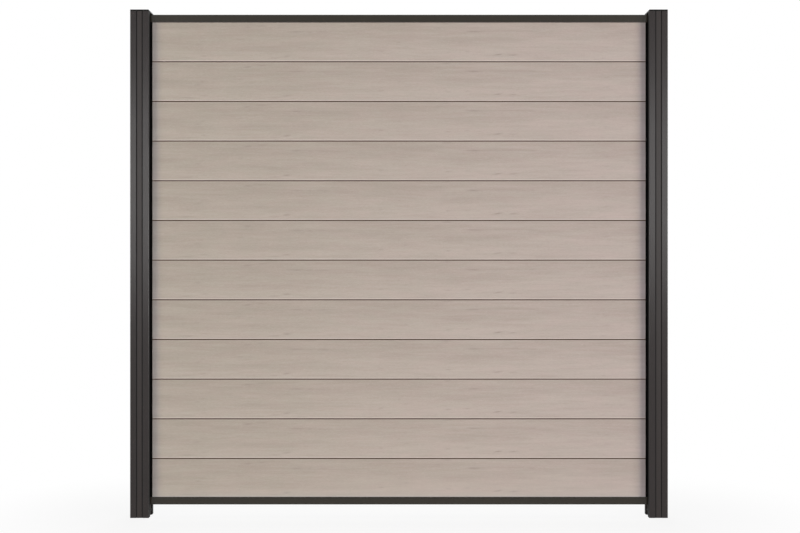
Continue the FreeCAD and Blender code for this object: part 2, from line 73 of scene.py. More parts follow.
# %% [markdown]
# ## The sizes that the new pieces need
#
# A new piece has to sit exactly where the solid sits that it stands for. Its place and its outer
# sizes are therefore read from the solid's own box. Only sizes that a box can't tell, such as the
# depth of a groove, are written down. They are in metres, as everything in Blender is.

# %% Sizes
MM = 0.001
BOARDS = sorted(name for name in nodes if name.startswith("board_"))
board_low, board_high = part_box(BOARDS[0])
BOARD_LENGTH = board_high.x - board_low.x
BOARD_FACE = board_high.y  # from the middle of a board to its face
BOARD_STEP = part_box(BOARDS[1])[0].z - board_low.z  # from one board to the next
STACK_BOTTOM = board_low.z
JOINT_GAP, JOINT_DEPTH = 3.2 * MM, 4 * MM  # the shadow gap between two boards
FACE_TOP = BOARD_STEP - JOINT_GAP
SHOULDER = BOARD_FACE - JOINT_DEPTH
TONGUE = 3.5 * MM  # half its thickness
TONGUE_TIP = board_high.z - board_low.z
TIP_BEVEL = 1 * MM
GROOVE = 4 * MM  # half its width
GROOVE_ROOF = 9.5 * MM
FACE_EDGE = 0.9 * MM  # radius of a face's long edges
BOARD_SKIN, BOARD_WEB = 4 * MM, 3.5 * MM  # walls round the chambers, and between them
CHAMBERS, CHAMBER_RADIUS = 5, 1.5 * MM
print(f"{len(BOARDS)} boards of {BOARD_LENGTH:.3f} m, one every {BOARD_STEP:.3f} m")

# %% [markdown]
# ## One way to make every new piece: a ring of points, carried along
#
# A board and a rubber seal are both pushed through a die, so each has the same outline from end to
# end. Blender could do it with a curve and its bevel object, or by extruding a face by hand. Here the
# outline is an array of points, and the whole skin is one array more: ring after ring. Numbers in
# arrays can be bent, pressed or worn before the mesh exists, which a finished curve doesn't allow.
#
# The ends are closed by triangles that leave the hollow chambers open, so the board is a true tube.

# %% A skin from rings
SLIVER = 1e-12  # a triangle of less than half this area, in square metres, is left out


def quads_between(rings, points, first=0):
    """Faces of a tube: point j of ring i, then j of i + 1, then j + 1 of i + 1, then j + 1 of i."""
    i, j = np.meshgrid(np.arange(rings - 1), np.arange(points), indexing="ij")
    k = (j + 1) % points
    quads = np.stack([i * points + j, (i + 1) * points + j, (i + 1) * points + k, i * points + k], -1)
    return quads.reshape(-1, 4) + first


def end_triangles(loops):
    """Triangles that fill a flat outline and leave its holes open, all turning left."""
    flat = np.concatenate(loops)
    found = tessellate_polygon([[(a, b, 0.0) for a, b in loop] for loop in loops])
    triangles = np.array([tuple(t) for t in found])
    a, b, c = (flat[triangles[:, n]] for n in range(3))
    turn = (b[:, 0] - a[:, 0]) * (c[:, 1] - a[:, 1]) - (b[:, 1] - a[:, 1]) * (c[:, 0] - a[:, 0])
    real = np.abs(turn) > SLIVER
    triangles, turn = triangles[real], turn[real]
    return np.where((turn > 0)[:, None], triangles, triangles[:, ::-1])


def new_piece(name, points, quads, triangles, smooth_below=35):
    """A mesh object from arrays; edges flatter than the given angle, in degrees, shade smoothly."""
    corners = np.concatenate([quads.ravel(), triangles.ravel()]).astype(np.int32)
    sizes = np.concatenate([np.full(len(quads), 4), np.full(len(triangles), 3)])
    starts = np.concatenate([[0], np.cumsum(sizes)[:-1]]).astype(np.int32)
    mesh = bpy.data.meshes.new(name)
    mesh.vertices.add(len(points))
    mesh.vertices.foreach_set("co", points.astype(np.float32).ravel())
    mesh.loops.add(len(corners))
    mesh.loops.foreach_set("vertex_index", corners)
    mesh.polygons.add(len(sizes))
    mesh.polygons.foreach_set("loop_start", starts)
    mesh.update(calc_edges=True)
    mesh.polygons.foreach_set("use_smooth", np.ones(len(sizes), bool))
    mesh.set_sharp_from_angle(angle=math.radians(smooth_below))
    mesh.validate()
    piece = bpy.data.objects.new(name, mesh)
    bpy.context.scene.collection.objects.link(piece)
    return piece


def tube(name, rings, flat, tunnels=()):
    """A closed tube from rings (ring, point, xyz), with tunnels through it.

    flat is the ring's outline and the tunnels' outlines in the plane of the ends; the outline turns
    left as seen from the last ring's end, and the tunnels are turned over, because their faces look
    inwards."""
    count, width = rings.shape[:2]
    points, quads, first = [rings.reshape(-1, 3)], [quads_between(count, width)], count * width
    near, far = [np.arange(width)], [np.arange(width) + (count - 1) * width]
    for tunnel in tunnels:
        across = tunnel.shape[1]
        points.append(tunnel.reshape(-1, 3))
        quads.append(quads_between(2, across, first)[:, ::-1])
        near.append(np.arange(across) + first)
        far.append(np.arange(across) + first + across)
        first += 2 * across
    cap = end_triangles(flat)
    ends = np.concatenate([np.concatenate(far)[cap], np.concatenate(near)[cap][:, ::-1]])
    return new_piece(name, np.concatenate(points), np.concatenate(quads)[:, ::-1], ends)


print("a tube can be made from any outline")

# %% [markdown]
# ## The outline of a board
#
# Seen from its end, a board has a groove below, two flat faces, a shadow gap and a tongue above. Real
# extruded edges are never sharp, so the long edges of the faces are small quarter circles. The face
# itself is cut into many rows, because the wood grain is pressed into it row by row.

# %% Board outline
FACE_ROWS = 60


def quarter(y, z, start, radius=FACE_EDGE, steps=4):
    """Quarter circle round (y, z): y + r cos a, z + r sin a, with a from start to start + 90 degrees."""
    a = math.radians(start) + np.linspace(0, math.pi / 2, steps + 1)
    return np.stack([y + radius * np.cos(a), z + radius * np.sin(a)], -1)


def board_outline():
    """The right half goes up from the groove's roof to the tongue's tip; the left half mirrors it."""
    rows = np.linspace(FACE_EDGE, FACE_TOP - FACE_EDGE, FACE_ROWS)[1:-1]
    right = np.concatenate([
        [(GROOVE, GROOVE_ROOF), (GROOVE, 0)],
        quarter(BOARD_FACE - FACE_EDGE, FACE_EDGE, -90),
        np.stack([np.full(len(rows), BOARD_FACE), rows], -1),
        quarter(BOARD_FACE - FACE_EDGE, FACE_TOP - FACE_EDGE, 0),
        [(SHOULDER, FACE_TOP), (SHOULDER, BOARD_STEP), (TONGUE, BOARD_STEP)],
        [(TONGUE, TONGUE_TIP - TIP_BEVEL), (TONGUE - TIP_BEVEL, TONGUE_TIP)],
    ])
    return np.concatenate([right, right[::-1] * (-1, 1)])


def chamber_outlines():
    """The hollows, one over another; each is four quarter circles, joined by straight walls."""
    low = GROOVE_ROOF + BOARD_SKIN
    step = (FACE_TOP - BOARD_SKIN - low + BOARD_WEB) / CHAMBERS
    side = BOARD_FACE - BOARD_SKIN - CHAMBER_RADIUS
    loops = []
    for n in range(CHAMBERS):
        bottom = low + n * step + CHAMBER_RADIUS
        top = low + (n + 1) * step - BOARD_WEB - CHAMBER_RADIUS
        centres = [(side, bottom, -90), (side, top, 0), (-side, top, 90), (-side, bottom, 180)]
        loops.append(np.concatenate([quarter(*centre, CHAMBER_RADIUS, 3) for centre in centres]))
    return loops


outline = board_outline()
chambers = chamber_outlines()
print(f"{len(outline)} points round a board, {len(chambers)} chambers inside")

# %% [markdown]
# ## The pressed wood grain
#
# A steel roller presses the grain into the warm board. Its marks are long and shallow: a few soft
# dark flecks, some thin lines, and between them slow waves that only raking light shows. A picture
# could carry all this, but a picture has one resolution and belongs to someone. Here every mark is a
# small dent worked out from numbers: a Gaussian, long in the board's direction and low across it.
# Where the marks lie, how long they are and how they slope was read from the photograph's boards,
# enlarged and averaged into one.
#
# The roller has one pattern, so all boards carry the same marks. Each board still differs a little,
# because pressure and colour of the paste change.

# %% Marks of the roller
# Place along the board and height on it, half length and half height (all mm), slope, depth (1 is
# one PRESS_DEPTH).
ROLLER_MARKS = np.array([
    (-801, 12, 28, 2.4, 0.00, 0.55), (-761, 62, 10, 2.6, 0.05, 0.55), (-742, 74, 8, 2.4, 0.05, 0.45),
    (-737, 20, 11, 2.4, 0.04, 0.45), (-600, 83, 18, 2.2, 0.04, 0.45), (-572, 128, 14, 2.6, 0.06, 0.95),
    (-560, 82, 9, 2.0, 0.00, 0.35), (-518, 134, 16, 2.2, 0.03, 0.60), (-468, 12, 22, 2.8, 0.02, 0.60),
    (-424, 19, 13, 3.0, 0.08, 0.95), (-386, 111, 22, 2.2, 0.00, 0.75), (-364, 112, 105, 1.6, 0.00, 0.30),
    (-336, 110, 7, 2.2, 0.00, 0.60), (-287, 110, 20, 2.4, 0.00, 0.50), (-68, 38, 7, 2.0, 0.00, 0.75),
    (1, 73, 5, 2.2, 0.00, 0.45), (27, 55, 6, 2.4, 0.00, 0.45), (148, 126, 13, 3.4, 0.00, 0.35),
    (181, 142, 17, 1.8, 0.00, 0.85), (186, 34, 9, 1.8, -0.04, 0.85), (258, 37, 8, 2.0, -0.06, 0.65),
    (281, 112, 24, 2.6, -0.03, 0.95), (300, 34, 8, 1.6, 0.00, 0.40), (383, 113, 140, 1.5, 0.00, 0.45),
    (374, 25, 14, 2.0, 0.14, 1.30), (432, 24, 13, 1.7, 0.03, 1.10), (504, 112, 11, 2.0, -0.04, 0.50),
    (667, 37, 82, 1.4, -0.01, 0.35), (784, 88, 10, 2.2, 0.04, 0.45), (784, 52, 9, 2.2, 0.04, 0.45),
    (771, 12, 9, 2.0, 0.00, 0.50), (843, 52, 7, 2.2, 0.00, 0.35),
])
PRESS_RANGE = 0.75, 1.15  # how hard a mark is pressed on one board
MARK_SCATTER = 0.4  # mm up or down from board to board
LATTICE = 128  # random values each way, before the noise repeats


def value_noise(u, v, seed):
    """Smooth noise from -1 to 1: random values at the whole numbers, joined by the curve 3t² - 2t³."""
    lattice = np.random.default_rng(seed).uniform(-1, 1, (LATTICE, LATTICE))
    i, j = np.floor(u).astype(int), np.floor(v).astype(int)
    s, t = u - i, v - j
    s, t = s * s * (3 - 2 * s), t * t * (3 - 2 * t)
    left, right, low, high = i % LATTICE, (i + 1) % LATTICE, j % LATTICE, (j + 1) % LATTICE
    below = lattice[left, low] * (1 - s) + lattice[right, low] * s
    above = lattice[left, high] * (1 - s) + lattice[right, high] * s
    return below * (1 - t) + above * t


def marks(x, z, seed):
    """Sum of the roller's marks: depth times exp(-(dx/length)² - ((dz - slope dx)/height)²)."""
    random = np.random.default_rng(seed)
    press = random.uniform(*PRESS_RANGE, len(ROLLER_MARKS))
    shift = random.normal(0, MARK_SCATTER, len(ROLLER_MARKS))
    mx, mz, length, height, slope, depth = (column[:, None, None] for column in ROLLER_MARKS.T)
    dx = x[None] / MM - mx
    dz = z[None] / MM - mz - shift[:, None, None] - slope * dx
    return (press[:, None, None] * depth * np.exp(-((dx / length) ** 2) - (dz / height) ** 2)).sum(0)


STEP_HEIGHT, STEP_SOFTNESS = 0.052, 0.030  # metres up a board, where light turns to dark


def print_tone(x, z, seed):
    """Light and dark of a board, about -1 to 1: a soft step from a dark upper to a light lower part.

    The step's height wanders as a sum of two sines of x and rises to the right, as the tone itself
    does; stretched noise breaks it up."""
    middle = STEP_HEIGHT + 0.010 * np.sin(3.1 * x + 0.6) + 0.006 * np.sin(7.7 * x + 2.0) + 0.010 * x
    step = np.tanh((middle - z) / STEP_SOFTNESS)
    slow = value_noise(x * 3.3 + 40, z * 26 + 7, seed) * 0.40
    fine = value_noise(x * 9.0 + 11, z * 95 + 3, seed + 1) * 0.38
    return 0.66 * step + slow + fine + 0.12 * x


print(f"{len(ROLLER_MARKS)} marks, repeated on every board")

# %% [markdown]
# ## The boards
#
# Each board is the outline carried along its length, and each ring's face points are pressed inwards
# by the grain. The two marks that matter for colour, the flecks and the slow tone, are also stored on
# the points as attributes, so that the colour later follows the relief exactly. Where the rubber
# seals lie, near the ends, the face stays flat.

# %% Build the boards
STATIONS = 241
along = np.linspace(-BOARD_LENGTH / 2, BOARD_LENGTH / 2, STATIONS)
PRESS_DEPTH, WAVE_DEPTH = 0.22 * MM, 0.10 * MM
REAR_SHIFT = 0.013  # the rear shows the mirrored pattern, moved along by this
FLAT_END, END_FADE = 0.030, 0.006  # no grain under the seals, and how fast it sets in
EDGE_FADE = 4 * MM  # the grain fades out towards a face's long edges


def make_board(node, number):
    """Rings of the board's outline; a face point moves inwards by its mark and its wave.

    The last number given to each kind of noise is its seed."""
    y, z = outline[:, 0], outline[:, 1]
    on_face = np.isclose(np.abs(y), BOARD_FACE, rtol=0, atol=1e-7)
    side = np.sign(y)
    lift = STACK_BOTTOM + number * BOARD_STEP
    x = np.repeat(along[:, None], len(outline), 1)
    height = np.repeat(z[None], STATIONS, 0)
    turned = x * -side[None] + np.where(side > 0, REAR_SHIFT, 0.0)[None]
    pressed = marks(turned, height, 100 + number)
    tone = print_tone(turned, height, 7) + value_noise(turned * 2.1, height * 30, 300 + number) * 0.12
    wave = value_noise(turned * 11, height * 120, 9) * 0.6 + value_noise(turned * 26, height * 300, 10) * 0.4
    edge = np.clip(np.minimum(z, FACE_TOP - z) / EDGE_FADE, 0, 1) * on_face
    free = np.clip((BOARD_LENGTH / 2 - FLAT_END - np.abs(x)) / END_FADE, 0, 1)
    depth = (PRESS_DEPTH * pressed + WAVE_DEPTH * (0.5 + 0.5 * wave)) * edge[None] * free
    rings = np.stack([x, y[None] - side[None] * depth, height + lift], -1)
    tunnels = [
        np.stack([np.column_stack([np.full(len(c), end), c[:, 0], c[:, 1] + lift]) for end in along[[0, -1]]])
        for c in chambers
    ]
    piece = tube(f"{node}_embossed", rings, [outline] + chambers, tunnels)
    points = len(piece.data.vertices)
    for name, values in (("mark", pressed * on_face[None]), ("tone", tone)):
        stored = np.zeros(points, np.float32)
        stored[: values.size] = values.ravel()
        piece.data.attributes.new(name, "FLOAT", "POINT").data.foreach_set("value", stored)
    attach(piece, "root")
    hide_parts(node)
    return piece


boards = [make_board(node, number) for number, node in enumerate(BOARDS)]
print(f"{len(boards)} boards with {len(boards[0].data.polygons)} faces each")

# %% [markdown]
# ## The rubber seals
#
# A seal is a soft black strip. Its foot is pushed into the post's slot, and its lip lies on the
# board's face and slopes outwards to the post. A hard solid shows a lip with sharp corners; rubber has
# a round nose, and along two metres it never lies perfectly straight. So the outline is drawn with
# rounded corners and carried up the post, while its nose wanders by a fraction of a millimetre.

# %% Build the seals
SEALS = sorted(name for name in nodes if name.startswith("gasket_"))
MOUTH = 0.940  # the slot's mouth, from the middle of the screen
SEAL_STATIONS = 121
NOSE = 8  # mm from the mouth; there a lip wanders by the full amount
SLOW_WANDER, FAST_WANDER = 0.15, 0.06  # mm
# A corner's u goes from the slot's mouth towards the middle of the screen and its v outwards from the
# board's face, both in mm. The third number is how far the corner is rounded.
LIP_CORNERS = np.array([
    (-14, 0.05, 0.4), (-1, 0.05, 0.5), (0.6, 0.45, 0.6), (8.1, 0.05, 0.5), (8.1, 1.25, 0.5),
    (2.5, 6.4, 0.9), (0.05, 6.4, 0.6), (0.05, 3.45, 0.3), (-14, 3.45, 0.4),
])


def rounded(corners, radii, steps=4):
    """Replaces each corner by a curve: (1-t)² a + 2t(1-t) corner + t² b, a and b a radius away."""
    t = np.linspace(0, 1, steps + 1)[:, None]
    befores, afters = np.roll(corners, 1, 0), np.roll(corners, -1, 0)
    out = []
    for before, corner, after, radius in zip(befores, corners, afters, radii):
        a = corner + (before - corner) / np.linalg.norm(before - corner) * radius
        b = corner + (after - corner) / np.linalg.norm(after - corner) * radius
        out.append((1 - t) ** 2 * a + 2 * t * (1 - t) * corner + t**2 * b)
    return np.concatenate(out)


lip = rounded(LIP_CORNERS[:, :2], LIP_CORNERS[:, 2])
print(f"{len(lip)} points round a seal")


def make_seal(node):
    """The outline goes up the post; towards its nose, u gains a slow and a fast wave of the height."""
    low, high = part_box(node)
    x_side, y_side = np.sign(low.x), np.sign(low.y + high.y)
    z = np.linspace(low.z, high.z, SEAL_STATIONS)
    nose = np.clip(lip[:, 0] / NOSE, 0, 1)
    seed = 50 + SEALS.index(node)
    slow, fast = value_noise(z * 9, z * 0, seed), value_noise(z * 31, z * 0, seed + 9)
    wander = SLOW_WANDER * slow + FAST_WANDER * fast
    u = lip[None, :, 0] + nose[None] * wander[:, None]
    v = np.repeat(lip[None, :, 1], len(z), 0)
    x = x_side * (MOUTH - u * MM)
    y = y_side * (BOARD_FACE + v * MM)
    rings = np.stack([x, y, np.repeat(z[:, None], len(lip), 1)], -1)
    if x_side * y_side > 0:  # keep the outline turning left as seen from above
        rings = rings[:, ::-1]
    piece = tube(f"{node}_lip", rings, [rings[0, :, :2]])
    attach(piece, "root")
    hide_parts(node)
    return piece


seals = [make_seal(node) for node in SEALS]
print(f"{len(seals)} seals with {len(seals[0].data.polygons)} faces each")

# %% [markdown]
# ## Small tools for materials
#
# A material is a graph: values flow from nodes to nodes and end in the surface's colour, roughness
# and bumps. Clicking it together is fine for one material. Written down, the same graph can be used
# again with other numbers, and a reader can follow it line by line. A few short helpers are enough.
# The most used ones add a node, do a sum, turn one run of values into another and blend two colours.
# Another opens a new group, which is a graph with its own inputs and outputs, to be used many times.

# %% Helpers for shader graphs
def add(tree, kind, inputs=None, **settings):
    """Adds a node. inputs are values or sockets by name or number, settings the node's own options."""
    made = tree.nodes.new(kind)
    for name, value in settings.items():
        setattr(made, name, value)
    for name, value in (inputs or {}).items():
        if isinstance(value, bpy.types.NodeSocket):
            tree.links.new(value, made.inputs[name])
        else:
            made.inputs[name].default_value = value
    return made


def calc(tree, operation, a, b=0.0, c=0.0, clamp=False):
    """One sum: a and b (and c) joined by a Math node."""
    return add(tree, "ShaderNodeMath", {0: a, 1: b, 2: c}, operation=operation, use_clamp=clamp).outputs[0]


def ramp(tree, value, low, high, to_low=0.0, to_high=1.0, smooth=True):
    """The value's run from low to high becomes a run from to_low to to_high, and stays there beyond."""
    kind = "SMOOTHSTEP" if smooth else "LINEAR"
    wanted = {"Value": value, "From Min": low, "From Max": high, "To Min": to_low, "To Max": to_high}
    return add(tree, "ShaderNodeMapRange", wanted, interpolation_type=kind, clamp=True).outputs[0]


def blend_colour(tree, amount, first, second, way="MIX"):
    """first where amount is 0, second where it is 1."""
    made = add(tree, "ShaderNodeMix", {0: amount}, data_type="RGBA", blend_type=way)
    for socket, value in ((made.inputs[6], first), (made.inputs[7], second)):
        if isinstance(value, bpy.types.NodeSocket):
            tree.links.new(value, socket)
        else:
            socket.default_value = (*value, 1.0)
    return made.outputs[2]


def stretched(tree, place, x, y, z):
    """The place with each direction multiplied, so that a pattern gets that many repeats per metre."""
    return add(tree, "ShaderNodeVectorMath", {0: place, 1: (x, y, z)}, operation="MULTIPLY").outputs[0]


def distance(tree, a, b):
    """How far away something is that lies a to one side and b ahead: the root of a² + b²."""
    squares = calc(tree, "ADD", calc(tree, "MULTIPLY", a, a), calc(tree, "MULTIPLY", b, b))
    return calc(tree, "SQRT", squares)


def noise(tree, place, scale=1.0, detail=2.0, roughness=0.5):
    """Soft noise between 0 and 1 at a place."""
    wanted = {"Vector": place, "Scale": scale, "Detail": detail, "Roughness": roughness}
    return add(tree, "ShaderNodeTexNoise", wanted).outputs[0]


def new_group(name, inputs, outputs):
    """An empty group: its tree, the sockets that come in and the sockets that go out."""
    tree = bpy.data.node_groups.new(name, "ShaderNodeTree")
    for label, kind, default in inputs:
        socket = tree.interface.new_socket(label, in_out="INPUT", socket_type="NodeSocket" + kind)
        if default is not None:
            socket.default_value = default
    for label, kind in outputs:
        tree.interface.new_socket(label, in_out="OUTPUT", socket_type="NodeSocket" + kind)
    return tree, tree.nodes.new("NodeGroupInput").outputs, tree.nodes.new("NodeGroupOutput").inputs


def place_group(tree, group, inputs):
    """Puts a shared group into a material and gives back its outputs by name."""
    return add(tree, "ShaderNodeGroup", inputs, node_tree=group).outputs


def new_material(name):
    """A material with its graph, the object's own coordinates, split too, and an empty surface."""
    material = bpy.data.materials.new(name)
    material.use_nodes = True
    tree = material.node_tree
    surface = tree.nodes["Principled BSDF"]
    place = add(tree, "ShaderNodeTexCoord").outputs["Object"]
    x, y, z = add(tree, "ShaderNodeSeparateXYZ", {0: place}).outputs
    return material, tree, surface, place, (x, y, z)


def connect(tree, value, socket):
    """Joins a node's output to another node's input."""
    tree.links.new(value, socket)


def roughen(tree, surface, height, strength, depth):
    """Bumps on the surface: height runs from 0 to 1 and depth is in metres."""
    wanted = {"Strength": strength, "Distance": depth, "Height": height}
    connect(tree, add(tree, "ShaderNodeBump", wanted).outputs[0], surface.inputs["Normal"])


print("helpers ready")

# %% [markdown]
# ## Effects that several finishes share
#
# Four effects are used more than once here, in one finish or in several, so each is made once as a
# group with its own numbers.
#
# - **fibres**: long thin streaks, from noise that is squeezed in one direction.
# - **edge wear and highlight**: near an edge the surface is a little thinner and paler. On the boards
#   the same pale line is a painted highlight along the joints' edges. It could be found from the mesh,
#   but these solids are loose triangles. Their edges lie at known places, so the distance from an edge
#   is worked out from the coordinates, which is also exact.
# - **orange peel**: the fine unevenness of baked powder and moulded plastic.
# - **dust**: rain throws soil against the lowest few centimetres of any fence.

# %% Shared groups
def group_fibres():
    """Noise whose cells are Length long and Height high (in metres); Streaks is 0 to 1."""
    tree, given, out = new_group(
        "fibres",
        [
            ("Place", "Vector", None), ("Length", "Float", 0.1),
            ("Height", "Float", 0.005), ("Wobble", "Float", 0.4),
        ],
        [("Streaks", "Float"), ("Relief", "Float")],
    )
    x, y, z = add(tree, "ShaderNodeSeparateXYZ", {0: given["Place"]}).outputs
    slow = noise(tree, stretched(tree, given["Place"], 6, 20, 14), detail=1.0)
    sway = calc(tree, "MULTIPLY", given["Wobble"], 0.02)
    bent = calc(tree, "MULTIPLY_ADD", calc(tree, "SUBTRACT", slow, 0.5), sway, z)
    u = calc(tree, "DIVIDE", x, given["Length"])
    v = calc(tree, "DIVIDE", bent, given["Height"])
    w = calc(tree, "DIVIDE", y, calc(tree, "MULTIPLY", given["Height"], 4.0))
    cell = add(tree, "ShaderNodeCombineXYZ", {0: u, 1: w, 2: v}).outputs[0]
    found = noise(tree, cell, detail=3.0, roughness=0.55)
    connect(tree, ramp(tree, found, 0.28, 0.72), out["Streaks"])
    connect(tree, found, out["Relief"])
    return tree


# On coat and plastic this mask is wear; on the boards it paints a highlight along the joints' edges.
def group_edge_wear_and_highlight():
    """1 on an edge and 0 beyond Width: A and B are how far the point lies inside the edge's two faces."""
    tree, given, out = new_group(
        "edge_wear_and_highlight",
        [
            ("Place", "Vector", None), ("A", "Float", 0.0), ("B", "Float", 0.0),
            ("Width", "Float", 0.002), ("Break Up", "Float", 0.6),
        ],
        [("Mask", "Float")],
    )
    near_a = ramp(tree, given["A"], 0.0, given["Width"], 1.0, 0.0)
    near_b = ramp(tree, given["B"], 0.0, given["Width"], 1.0, 0.0)
    both = calc(tree, "MULTIPLY", near_a, near_b)
    patches = ramp(tree, noise(tree, given["Place"], 38.0, 4.0, 0.6), 0.35, 0.65)
    lost = calc(tree, "MULTIPLY", given["Break Up"], calc(tree, "SUBTRACT", 1.0, patches))
    kept = calc(tree, "SUBTRACT", 1.0, lost)
    connect(tree, calc(tree, "MULTIPLY", both, kept, clamp=True), out["Mask"])
    return tree


def group_orange_peel():
    """Grains of the given Size (m) over slower waves; Relief and Tone are both 0 to 1."""
    tree, given, out = new_group(
        "orange_peel",
        [("Place", "Vector", None), ("Size", "Float", 0.0008)],
        [("Relief", "Float"), ("Tone", "Float")],
    )
    scale = calc(tree, "DIVIDE", 1.0, given["Size"])
    grains = {"Vector": given["Place"], "Scale": scale, "Smoothness": 0.6}
    cells = add(tree, "ShaderNodeTexVoronoi", grains, feature="SMOOTH_F1").outputs["Distance"]
    waves = noise(tree, given["Place"], calc(tree, "MULTIPLY", scale, 0.3), 2.0)
    connect(tree, calc(tree, "MULTIPLY_ADD", cells, 0.6, calc(tree, "MULTIPLY", waves, 0.4)), out["Relief"])
    connect(tree, noise(tree, given["Place"], 9.0, 5.0, 0.6), out["Tone"])
    return tree


def group_dust():
    """Strong at the ground and gone at Reach (m), broken up into splashes."""
    tree, given, out = new_group(
        "dust",
        [("Place", "Vector", None), ("Reach", "Float", 0.12), ("Amount", "Float", 0.3)],
        [("Mask", "Float")],
    )
    z = add(tree, "ShaderNodeSeparateXYZ", {0: given["Place"]}).outputs[2]
    low = ramp(tree, z, 0.0, given["Reach"], 1.0, 0.0)
    splashes = ramp(tree, noise(tree, given["Place"], 55.0, 6.0, 0.65), 0.38, 0.70)
    haze = noise(tree, given["Place"], 7.0, 3.0)
    mixed = calc(tree, "MULTIPLY_ADD", splashes, 0.6, calc(tree, "MULTIPLY", haze, 0.5))
    thrown = calc(tree, "MULTIPLY", low, mixed)
    connect(tree, calc(tree, "MULTIPLY", thrown, given["Amount"], clamp=True), out["Mask"])
    return tree


fibres, edge_wear_and_highlight = group_fibres(), group_edge_wear_and_highlight()
orange_peel, dust = group_orange_peel(), group_dust()
DUST_COLOUR = (0.36, 0.32, 0.27)
print("shared groups:", ", ".join(group.name for group in (fibres, edge_wear_and_highlight, orange_peel, dust)))

# %% [markdown]
# ## The composite of the boards
#
# The boards are pressed from wood flour and plastic. The paste is a matt grey-beige with four kinds
# of variation: a slow change from a darker upper to a lighter lower part, grain streaks a hand long,
# pores and pale flour a finger's breadth long, and the pressed flecks, which hold a little dirt.
# Light and shade are painted on as well: a pale highlight along the pressed edges beside each joint,
# near-black shade in each joint's shadow gap and on the face just below it, a cool bluish shade on
# the boards' ends beside the seals, and a pale highlight line above the bottom rail. Dust lies near
# the ground. All is built from numbers that the mesh already carries, and from object coordinates,
# so it fits the relief.

# %% Board material
DARK_PASTE, PALE_PASTE = (0.384, 0.323, 0.2805), (0.478, 0.406, 0.3635)
OPEN_PORE, FLOUR = (0.250, 0.205, 0.178), (0.640, 0.560, 0.500)
# Both colours on the next line are painted highlights: on the joints' edges, and above the bottom rail.
EDGE_HIGHLIGHT, LEDGE_HIGHLIGHT = (0.62, 0.54, 0.49), (0.54, 0.55, 0.54)
# The second colour on the next line is painted shade for the joints' shadow gaps.
FLECK_DIRT, JOINT_SHADE = (0.205, 0.168, 0.150), (0.046, 0.014, 0.003)
COOL_SHADE_END = 0.893, 0.925  # from the middle of the screen: where the painted cool shade sets in and where it is full
LEDGE_LINE, LEDGE_HAZE = (0.0755, 0.0805), (0.078, 0.105)  # heights over which the painted highlight line and its haze run out
